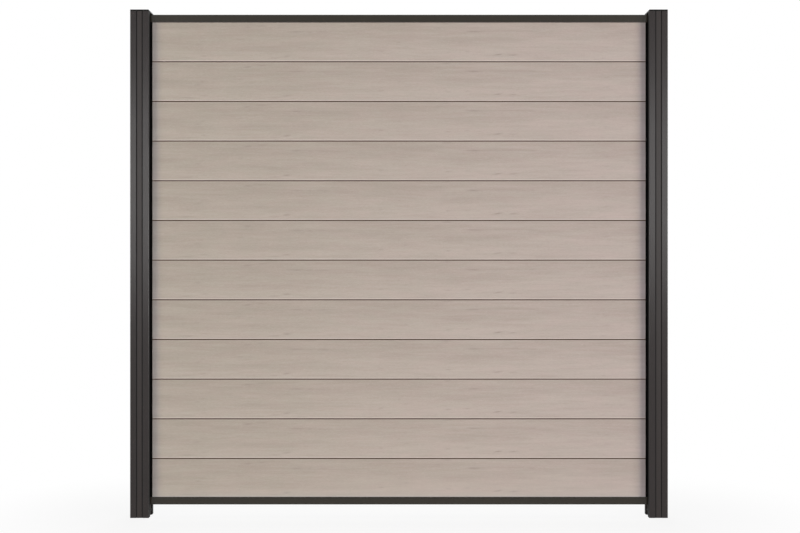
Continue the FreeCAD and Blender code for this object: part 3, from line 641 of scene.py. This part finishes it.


def make_board_finish():
    """The layers in their order: paste with tints and a painted cool shade at the ends, pores and flour,
    painted highlights on the joints' edges, dirt, painted shade in the joints, a painted highlight line,
    dust.
    """
    material, tree, surface, place, (x, y, z) = new_material("embossed_composite")
    tone = add(tree, "ShaderNodeAttribute", attribute_name="tone").outputs["Fac"]
    mark = add(tree, "ShaderNodeAttribute", attribute_name="mark").outputs["Fac"]
    long_grain = place_group(tree, fibres, {"Place": place, "Length": 0.110, "Height": 0.0065, "Wobble": 0.5})
    fine_grain = place_group(tree, fibres, {"Place": place, "Length": 0.030, "Height": 0.0011, "Wobble": 0.2})
    pores = place_group(tree, fibres, {"Place": place, "Length": 0.009, "Height": 0.0004, "Wobble": 0.2})

    # One number from dark to light, then two colours between which it chooses.
    light = calc(tree, "MULTIPLY_ADD", tone, 0.36, 0.50)
    long_part = calc(tree, "SUBTRACT", long_grain["Streaks"], 0.5)
    fine_part = calc(tree, "SUBTRACT", fine_grain["Streaks"], 0.5)
    light = calc(tree, "MULTIPLY_ADD", long_part, 0.27, light)
    light = calc(tree, "MULTIPLY_ADD", fine_part, 0.17, light, clamp=True)
    colour = blend_colour(tree, light, DARK_PASTE, PALE_PASTE)

    # Faint tints multiply it, in patches and from one end of the screen to the other. At both ends a
    # cool bluish tint paints the shade beside the posts.
    hue = ramp(tree, noise(tree, stretched(tree, place, 9, 9, 34), detail=1.0), 0.35, 0.65)
    patches = blend_colour(tree, hue, (1.02, 0.99, 0.99), (0.985, 1.005, 0.985))
    colour = blend_colour(tree, 0.5, colour, patches, "MULTIPLY")
    along_x = ramp(tree, x, -1.0, 1.0, smooth=False)
    drift = blend_colour(tree, along_x, (0.985, 1.005, 0.965), (1.02, 1.0, 1.025))
    colour = blend_colour(tree, 1.0, colour, drift, "MULTIPLY")
    # Painted shade: a cool bluish tint on the boards' ends beside the posts.
    at_end = ramp(tree, calc(tree, "ABSOLUTE", x), *COOL_SHADE_END)
    cool_shade = blend_colour(tree, 1.0, colour, (0.965, 1.005, 1.12), "MULTIPLY")
    colour = blend_colour(tree, at_end, colour, cool_shade)

    open_pores = ramp(tree, pores["Relief"], 0.56, 0.70)
    colour = blend_colour(tree, calc(tree, "MULTIPLY", open_pores, 0.30), colour, OPEN_PORE)
    pale_flour = ramp(tree, pores["Relief"], 0.30, 0.44, 1.0, 0.0)
    colour = blend_colour(tree, calc(tree, "MULTIPLY", pale_flour, 0.30), colour, FLOUR)

    # Painted highlight on the joint's edges, from the height within one board.
    counted = calc(tree, "DIVIDE", calc(tree, "SUBTRACT", z, STACK_BOTTOM), BOARD_STEP)
    within = calc(tree, "MULTIPLY", calc(tree, "FRACT", counted), BOARD_STEP)
    inside = calc(tree, "SUBTRACT", BOARD_FACE, calc(tree, "ABSOLUTE", y))
    lower = {"Place": place, "A": within, "B": inside, "Width": 0.0055, "Break Up": 0.10}
    upper = lower | {"A": calc(tree, "SUBTRACT", FACE_TOP, within), "Width": 0.0030, "Break Up": 0.3}
    below = calc(tree, "MULTIPLY", place_group(tree, edge_wear_and_highlight, lower)["Mask"], 0.85)
    above = place_group(tree, edge_wear_and_highlight, upper)["Mask"]
    edge_highlight = calc(tree, "MULTIPLY_ADD", above, 0.45, below, clamp=True)
    colour = blend_colour(tree, edge_highlight, colour, EDGE_HIGHLIGHT)

    # Dirt in the flecks; painted shade deep in the joint and on the face just below it; a painted
    # highlight line above the bottom rail; dust near the ground.
    broken = calc(tree, "MULTIPLY_ADD", ramp(tree, fine_grain["Relief"], 0.30, 0.62), 0.5, 0.6)
    dirt = calc(tree, "MULTIPLY", calc(tree, "MULTIPLY", mark, 0.42), broken, clamp=True)
    colour = blend_colour(tree, dirt, colour, FLECK_DIRT)
    # Painted shade: near black more than a millimetre behind the faces, and on a face's last 1.6 mm.
    joint = ramp(tree, inside, 0.0002, 0.0010, 0.0, 0.96)
    shaded_face_top = ramp(tree, within, FACE_TOP - 0.0016, FACE_TOP - 0.0002, 0.0, 0.70)
    colour = blend_colour(tree, calc(tree, "MAXIMUM", joint, shaded_face_top), colour, JOINT_SHADE)
    # A painted highlight: a pale line and a faint haze on the lowest board, just above the bottom rail.
    line, haze = ramp(tree, z, *LEDGE_LINE, 0.34, 0.0), ramp(tree, z, *LEDGE_HAZE, 0.09, 0.0)
    colour = blend_colour(tree, calc(tree, "MAXIMUM", line, haze), colour, LEDGE_HIGHLIGHT)
    soil = place_group(tree, dust, {"Place": place, "Reach": 0.35, "Amount": 0.10})
    colour = blend_colour(tree, soil["Mask"], colour, DUST_COLOUR)
    connect(tree, colour, surface.inputs["Base Color"])

    rough = calc(tree, "MULTIPLY_ADD", fine_grain["Streaks"], 0.10, 0.60)
    rough = calc(tree, "MULTIPLY_ADD", edge_highlight, -0.10, rough)
    connect(tree, calc(tree, "MULTIPLY_ADD", dirt, 0.2, rough, clamp=True), surface.inputs["Roughness"])
    surface.inputs["Specular IOR Level"].default_value = 0.25
    fine_relief = calc(tree, "MULTIPLY", fine_grain["Relief"], 0.4)
    grain = calc(tree, "MULTIPLY_ADD", long_grain["Relief"], 0.6, fine_relief)
    grain = calc(tree, "MULTIPLY_ADD", open_pores, -0.25, grain)
    roughen(tree, surface, grain, 0.6, 0.0005)
    return material


board_finish = make_board_finish()
for piece in boards:
    piece.data.materials.append(board_finish)
print("boards finished")

# %% [markdown]
# ## Powder coat on aluminium
#
# Posts, rails and slot covers are extruded aluminium, sprayed with a dark powder that melts in an
# oven. The result is a warm anthracite, satin, with a fine orange peel. Where two faces meet, the
# melted powder creeps back, so the edge is a touch paler. One function makes the finish for each kind
# of profile, from the distance to its edges and from its shade. The posts also have two zones: the
# band between the flutes is a little rougher, while in the flutes and on the side that faces the other
# post shade is painted nearly black and the gloss is dulled, so that they mirror nothing.

# %% Powder coat
SPECKS, PALE_EDGE = (0.050, 0.046, 0.043), (0.060, 0.055, 0.051)
# The second colour on the next line is painted shade, for the flutes and the posts' inner sides.
BAND, PAINTED_SHADE_BLACK = (0.0098, 0.0050, 0.0038), (0.0010, 0.0008, 0.0007)


def middle_of(name):
    """A solid's middle, and half its size."""
    low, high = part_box(name)
    return (low + high) / 2, (high - low) / 2


def give(material, *names):
    """Puts a material into every slot of solids of the frame."""
    for name in names:
        for slot in nodes[name].material_slots:
            slot.material = material


def inside_of(tree, coordinate, centre, half, mirrored=False):
    """How far a coordinate lies inside a pair of faces: half - |coordinate - centre|."""
    value = calc(tree, "ABSOLUTE", coordinate) if mirrored else coordinate
    return calc(tree, "SUBTRACT", half, calc(tree, "ABSOLUTE", calc(tree, "SUBTRACT", value, centre)))


def make_powder_coat(name, edge_distances, shades, zones=None):
    """edge_distances(tree, x, y, z) gives the distances inside the two faces that meet at an edge.

    zones(tree, x, y, z), if there is one, gives two masks: 1 where the coat is a little rougher, and 1
    where shade is painted nearly black and the gloss is dulled."""
    material, tree, surface, place, (x, y, z) = new_material(name)
    peel = place_group(tree, orange_peel, {"Place": place, "Size": 0.0011})
    a, b = edge_distances(tree, x, y, z)
    edge = place_group(tree, edge_wear_and_highlight, {"Place": place, "A": a, "B": b, "Width": 0.0022, "Break Up": 0.5})
    colour = blend_colour(tree, peel["Tone"], *shades)
    speck = ramp(tree, noise(tree, place, 900.0, 1.0), 0.62, 0.72)
    colour = blend_colour(tree, calc(tree, "MULTIPLY", speck, 0.25), colour, SPECKS)
    colour = blend_colour(tree, calc(tree, "MULTIPLY", edge["Mask"], 0.25), colour, PALE_EDGE)
    rough = calc(tree, "MULTIPLY_ADD", peel["Tone"], 0.06, 0.22)
    if zones:
        band, black = zones(tree, x, y, z)
        colour = blend_colour(tree, calc(tree, "MULTIPLY", band, 0.8), colour, BAND)
        # Painted shade: the flutes and the inner side are darkened nearly to black.
        colour = blend_colour(tree, calc(tree, "MULTIPLY", black, 0.95), colour, PAINTED_SHADE_BLACK)
        rough = calc(tree, "MULTIPLY_ADD", band, 0.12, rough)
        rough = calc(tree, "MULTIPLY_ADD", black, 0.75, rough, clamp=True)
    splash = place_group(tree, dust, {"Place": place, "Reach": 0.16, "Amount": 0.010})
    colour = blend_colour(tree, splash["Mask"], colour, DUST_COLOUR)
    connect(tree, colour, surface.inputs["Base Color"])
    rough = calc(tree, "MULTIPLY_ADD", splash["Mask"], 0.4, rough, clamp=True)
    connect(tree, rough, surface.inputs["Roughness"])
    surface.inputs["Specular IOR Level"].default_value = 0.40
    roughen(tree, surface, peel["Relief"], 0.30, 0.00006)
    return material


post_centre, post_half = middle_of("post_right")
FLUTE_PLACE = 10.75 * MM  # from the middle of a post's face to the middle of a flute
FLUTE_EDGE, BAND_EDGE = (1.8 * MM, 2.2 * MM), (8.5 * MM, 9.5 * MM)
RAIL_HEIGHT = 25 * MM
rails_low, rail_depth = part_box("bottom_rail")[0].z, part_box("bottom_rail")[1].y
rails_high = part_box("top_rail")[1].z
rails_centre, rails_half = (rails_low + rails_high) / 2, (rails_high - rails_low) / 2


def upright_edges(node):
    """The distances for a solid that stands upright and has a mirrored twin at -x."""
    centre, half = middle_of(node)

    def distances(tree, x, y, z):
        return inside_of(tree, x, centre.x, half.x, mirrored=True), inside_of(tree, y, 0.0, half.y)

    return distances


def post_zones(tree, x, y, z):
    """1 between a post's two flutes, and 1 in the flutes and on the side that faces the other post."""
    across = calc(tree, "ABSOLUTE", x)
    from_centre = calc(tree, "ABSOLUTE", calc(tree, "SUBTRACT", across, post_centre.x))
    from_flute = calc(tree, "ABSOLUTE", calc(tree, "SUBTRACT", from_centre, FLUTE_PLACE))
    flute = ramp(tree, from_flute, *FLUTE_EDGE, 1.0, 0.0)
    inner = post_centre.x - post_half.x
    side = ramp(tree, across, inner + 0.1 * MM, inner + 0.3 * MM, 1.0, 0.0)
    # The second mask is where shade is painted: in the flutes and on the side that faces the other post.
    return ramp(tree, from_centre, *BAND_EDGE, 1.0, 0.0), calc(tree, "MAXIMUM", flute, side)


def rail_edges(tree, x, y, z):
    """Both rails at once: their heights are folded onto each other about the middle of the screen."""
    folded = calc(tree, "ABSOLUTE", calc(tree, "SUBTRACT", z, rails_centre))
    inside = inside_of(tree, folded, rails_half - RAIL_HEIGHT / 2, RAIL_HEIGHT / 2)
    return inside, inside_of(tree, y, 0.0, rail_depth)


POST_SHADES = (0.0085, 0.0048, 0.0042), (0.0120, 0.0075, 0.0068)
RAIL_SHADES = (0.0105, 0.0068, 0.0020), (0.0140, 0.0096, 0.0040)
post_edges, cover_edges = upright_edges("post_right"), upright_edges("slot_cover_right")
post_coat = make_powder_coat("powder_coat_post", post_edges, POST_SHADES, post_zones)
give(post_coat, "post_left", "post_right")
give(make_powder_coat("powder_coat_rail", rail_edges, RAIL_SHADES), "bottom_rail", "top_rail")
cover_coat = make_powder_coat("powder_coat_cover", cover_edges, POST_SHADES)
give(cover_coat, "slot_cover_left", "slot_cover_right")
print("powder coat on posts, rails and slot covers")

# %% [markdown]
# ## Moulded black plastic
#
# The caps and the spacer blocks come out of a mould whose steel was roughened by sparks, which leaves
# a fine dull grain. Handling scuffs it grey along the edges.

# %% Black plastic
PLASTIC_SHADES = (0.0050, 0.0047, 0.0045), (0.0095, 0.0090, 0.0086)
SCUFFED = (0.055, 0.053, 0.050)


def make_black_plastic(name, edge_distances, soil):
    """edge_distances is as for the powder coat; soil is how much dust the piece's foot holds."""
    material, tree, surface, place, (x, y, z) = new_material(name)
    peel = place_group(tree, orange_peel, {"Place": place, "Size": 0.0006})
    a, b = edge_distances(tree, x, y, z)
    edge = place_group(tree, edge_wear_and_highlight, {"Place": place, "A": a, "B": b, "Width": 0.0012, "Break Up": 0.8})
    scratches = ramp(tree, noise(tree, stretched(tree, place, 60, 900, 300), detail=2.0), 0.66, 0.74)
    colour = blend_colour(tree, peel["Tone"], *PLASTIC_SHADES)
    worn = calc(tree, "MULTIPLY_ADD", edge["Mask"], 0.35, calc(tree, "MULTIPLY", scratches, 0.18), clamp=True)
    colour = blend_colour(tree, worn, colour, SCUFFED)
    splash = place_group(tree, dust, {"Place": place, "Reach": 0.16, "Amount": soil})
    colour = blend_colour(tree, splash["Mask"], colour, DUST_COLOUR)
    connect(tree, colour, surface.inputs["Base Color"])
    connect(tree, calc(tree, "MULTIPLY_ADD", peel["Tone"], 0.15, 0.48), surface.inputs["Roughness"])
    surface.inputs["Specular IOR Level"].default_value = 0.08
    roughen(tree, surface, peel["Relief"], 0.5, 0.0001)
    return material


cap_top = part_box("post_cap_right")[1].z


def cap_edges(tree, x, y, z):
    """The cap's upper rim: distance below its top, and distance inside the nearer of its sides."""
    side_x = inside_of(tree, x, post_centre.x, post_half.x, mirrored=True)
    side = calc(tree, "MINIMUM", side_x, inside_of(tree, y, 0.0, post_half.y))
    return calc(tree, "SUBTRACT", cap_top, z), side


block_edges = upright_edges("spacer_block_right")
give(make_black_plastic("black_plastic_cap", cap_edges, 0.0), "post_cap_left", "post_cap_right")
give(make_black_plastic("black_plastic_block", block_edges, 0.10), "spacer_block_left", "spacer_block_right")
print("black plastic on caps and spacer blocks")

# %% [markdown]
# ## Rubber and steel
#
# The seals are matt black rubber, coloured far darker than real rubber: the near-black is partly the
# rubber's own and partly painted shade of the slots' mouths. With the weather it gets a faint grey
# bloom in patches. The screws are turned from steel, and their heads still show the rings of the
# turning tool. The rings are circles round each screw's own axis. Since the screws stand in a mirrored
# pattern, folding the coordinates brings all of them onto one. Those in the spacer blocks can be seen
# from the front, so the maker has them blackened to the colour of the posts.

# %% Rubber
# These colours are the rubber's own black and painted shade: far darker than rubber, they stand for the
# slot's shade.
RUBBER_AND_PAINTED_SHADE = (0.0006, 0.0006, 0.0006), (0.0014, 0.0013, 0.0013)
RIB = (0.0025, 0.0025, 0.0025)


def make_rubber():
    """Faint bloom in patches, and fine ribs that run up the strip as the die left them."""
    material, tree, surface, place, _ = new_material("seal_rubber")
    fine = place_group(tree, orange_peel, {"Place": place, "Size": 0.0005})
    bloom = ramp(tree, noise(tree, stretched(tree, place, 40, 40, 5), detail=4.0), 0.45, 0.75)
    colour = blend_colour(tree, bloom, *RUBBER_AND_PAINTED_SHADE)
    ribs = ramp(tree, noise(tree, stretched(tree, place, 1800, 1800, 2), detail=1.0), 0.6, 0.7)
    colour = blend_colour(tree, calc(tree, "MULTIPLY", ribs, 0.3), colour, RIB)
    connect(tree, colour, surface.inputs["Base Color"])
    connect(tree, calc(tree, "MULTIPLY_ADD", bloom, 0.12, 0.72), surface.inputs["Roughness"])
    surface.inputs["Specular IOR Level"].default_value = 0.02
    roughen(tree, surface, fine["Relief"], 0.4, 0.0001)
    return material


rubber = make_rubber()
for piece in seals:
    piece.data.materials.append(rubber)
print("seals finished")


# %% Steel
RING_PITCH = 0.35 * MM
STEEL_SHADES, RING = ((0.44, 0.43, 0.41), (0.58, 0.575, 0.565)), (0.36, 0.355, 0.345)
BLACKENED = 0.03  # its brightness, where plain steel has 1


def make_turned_steel(name, across, brightness=1.0):
    """Rings on a head: a wave of the distance from the screw's axis. across gives the two distances."""
    material, tree, surface, place, (x, y, z) = new_material(name)
    radius = distance(tree, *across(tree, x, y, z))
    wave = calc(tree, "SINE", calc(tree, "MULTIPLY", radius, 2 * math.pi / RING_PITCH))
    rings = calc(tree, "MULTIPLY_ADD", wave, 0.5, 0.5)
    stain = noise(tree, place, 700.0, 4.0, 0.6)
    colour = blend_colour(tree, stain, *STEEL_SHADES)
    colour = blend_colour(tree, calc(tree, "MULTIPLY", rings, 0.25), colour, RING)
    colour = blend_colour(tree, 1.0, colour, (brightness, brightness, brightness), "MULTIPLY")
    connect(tree, colour, surface.inputs["Base Color"])
    surface.inputs["Metallic"].default_value = 1.0
    connect(tree, calc(tree, "MULTIPLY_ADD", stain, 0.18, 0.24), surface.inputs["Roughness"])
    roughen(tree, surface, rings, 0.3, 0.00005)
    return material


screw_low, screw_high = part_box("rail_screws")
HEAD_RADIUS = 4 * MM
screw_x, screw_z = screw_high.x - HEAD_RADIUS, (screw_high.z - screw_low.z) / 2 - HEAD_RADIUS
screws_centre = (screw_high.z + screw_low.z) / 2
spacer_low, spacer_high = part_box("spacer_screws")
spacer_z = (spacer_low.z + spacer_high.z) / 2


def from_rail_screw(tree, x, y, z):
    """All four folded onto one: their distances from it in x and in z."""
    across = calc(tree, "SUBTRACT", calc(tree, "ABSOLUTE", x), screw_x)
    up = calc(tree, "SUBTRACT", calc(tree, "ABSOLUTE", calc(tree, "SUBTRACT", z, screws_centre)), screw_z)
    return across, up


def from_spacer_screw(tree, x, y, z):
    """Both lie along x at the same height, so y and z are enough."""
    return y, calc(tree, "SUBTRACT", z, spacer_z)


give(make_turned_steel("turned_steel_rail_screws", from_rail_screw), "rail_screws")
give(make_turned_steel("turned_steel_spacer_screws", from_spacer_screw, BLACKENED), "spacer_screws")
print(f"rail screws turned about x = {screw_x:.4f}")

# %% [markdown]
# ## Floor, light and camera
#
# The photograph shows the screen from straight in front, at half its height, on pure white. A floor
# under real lamps never comes out pure white, so what the camera, and anything glossy or clear, sees
# of it is mostly plain white, with a part of the true floor left in near the object: that part
# carries the shadow. The world does the same: white to the eye, softer as a light.

# %% Floor and world
HALF_FLOOR = 30
SHADOW_REACH, SHADOW_SHARE = (0.05, 0.80), 0.11  # metres from the object, and how much is left in


def seen_directly(tree):
    """1 for what the camera sees, or what it sees in a gloss or through something clear, else 0."""
    rays = add(tree, "ShaderNodeLightPath").outputs
    gloss = calc(tree, "MAXIMUM", rays["Is Glossy Ray"], rays["Is Transmission Ray"])
    return calc(tree, "MAXIMUM", rays["Is Camera Ray"], gloss)


def make_floor():
    """A square at z = 0. It mixes plain white with a part of the true floor, close to the object."""
    floor = bpy.data.meshes.new("studio_floor")
    h = HALF_FLOOR
    floor.from_pydata([(-h, -h, 0), (h, -h, 0), (h, h, 0), (-h, h, 0)], [], [(0, 1, 2, 3)])
    piece = bpy.data.objects.new("studio_floor", floor)
    bpy.context.scene.collection.objects.link(piece)
    material, tree, surface, place, (x, y, _) = new_material("studio_paper")
    paper = blend_colour(tree, noise(tree, place, 90.0, 3.0), (0.86, 0.86, 0.86), (0.90, 0.90, 0.90))
    connect(tree, paper, surface.inputs["Base Color"])
    surface.inputs["Roughness"].default_value = 0.9
    surface.inputs["Specular IOR Level"].default_value = 0.0
    beside = calc(tree, "MAXIMUM", calc(tree, "SUBTRACT", calc(tree, "ABSOLUTE", x), cad_box[1].x), 0.0)
    true_floor = ramp(tree, distance(tree, beside, y), *SHADOW_REACH, SHADOW_SHARE, 0.0)
    white = add(tree, "ShaderNodeEmission", {"Color": (1, 1, 1, 1), "Strength": 1.0}).outputs[0]
    amount = calc(tree, "MULTIPLY", seen_directly(tree), calc(tree, "SUBTRACT", 1.0, true_floor))
    mixed = add(tree, "ShaderNodeMixShader", {0: amount, 1: surface.outputs[0], 2: white}).outputs[0]
    connect(tree, mixed, tree.nodes["Material Output"].inputs["Surface"])
    floor.materials.append(material)


def make_world(level):
    """White to the camera and in glosses; level is how bright it is as a light."""
    world = bpy.data.worlds.new("studio_world")
    bpy.context.scene.world = world
    world.use_nodes = True
    tree = world.node_tree
    background = tree.nodes["Background"]
    colour = blend_colour(tree, seen_directly(tree), (level, level, level), (1.0, 1.0, 1.0))
    connect(tree, colour, background.inputs["Color"])
    background.inputs["Strength"].default_value = 1.0


make_floor()
make_world(0.04)
print("floor and world are white to the camera")

# %% [markdown]
# Two softboxes stand where the posts' front faces mirror them towards the camera. They draw the long
# soft highlight down both posts. Two larger ones far out, to the left and more strongly to the right,
# give the boards most of their light and let the posts shade the boards beside them. A low strip
# keeps the lowest boards as light as the rest. One lamp hangs above and one stands behind, so that
# the object's other sides are lit as well.

# %% Lamps
def softbox(name, place, target, width, height, radiance):
    """An area lamp that looks at a target. Its power is radiance times area times pi."""
    light = bpy.data.lights.new(name, "AREA")
    light.shape, light.size, light.size_y = "RECTANGLE", width, height
    light.energy = radiance * width * height * math.pi
    lamp = bpy.data.objects.new(name, light)
    bpy.context.scene.collection.objects.link(lamp)
    away = np.array(target, float) - np.array(place, float)
    yaw = math.atan2(-away[0], away[1])
    pitch = math.atan2(away[2], math.hypot(away[0], away[1]))
    lamp.location = place
    lamp.rotation_euler = (math.pi / 2 + pitch, 0, yaw)
    lamp.visible_camera = False


softbox("left_highlight", (-2.0, -3.9, 1.56), (-0.6, 0, 1.3), 1.0, 1.45, 3.2)
softbox("right_highlight", (2.0, -3.9, 1.56), (0.6, 0, 1.3), 1.0, 1.45, 3.15)
softbox("left_fill", (-12.8, -9.6, 1.7), (0, 0, 0.95), 7.4, 3.2, 16.2)
softbox("right_fill", (13.4, -8.7, 1.7), (0, 0, 0.95), 7.4, 3.2, 26.6)
softbox("low_strip", (0, -1.04, 0.09), (0, 0, 0.09), 1.9, 0.12, 1.35)
softbox("top_softbox", (0, 1.8, 3.8), (0, 0.9, 0), 4.0, 2.6, 1.0)
softbox("rear_softbox", (0, 4.2, 2.0), (0, 0, 1.0), 3.0, 1.2, 10.0)
print("seven softboxes")

# %% [markdown]
# The camera looks along +Y from about half the screen's height. Its lens follows from its distance
# and from how much one pixel covers on the posts' front faces.

# %% Camera
PIXELS_ACROSS = 800
CAMERA_SIDE, CAMERA_HEIGHT = 0.0038, 0.9445
POST_FRONT = 0.035
DISTANCE = 3.600  # from the posts' front faces
SCALE = 0.003755  # metres per pixel on that plane

camera = bpy.data.objects.new("camera", bpy.data.cameras.new("camera"))
bpy.context.scene.collection.objects.link(camera)
camera.data.sensor_fit, camera.data.sensor_width = "HORIZONTAL", 36.0
camera.data.lens = camera.data.sensor_width / 2 * DISTANCE / (SCALE * PIXELS_ACROSS / 2)
camera.location = (CAMERA_SIDE, -POST_FRONT - DISTANCE, CAMERA_HEIGHT)
camera.rotation_euler = (math.pi / 2, 0, 0)
bpy.context.scene.camera = camera
bpy.context.scene.view_settings.view_transform = "Standard"
print(f"camera with a lens of {camera.data.lens:.1f} mm")
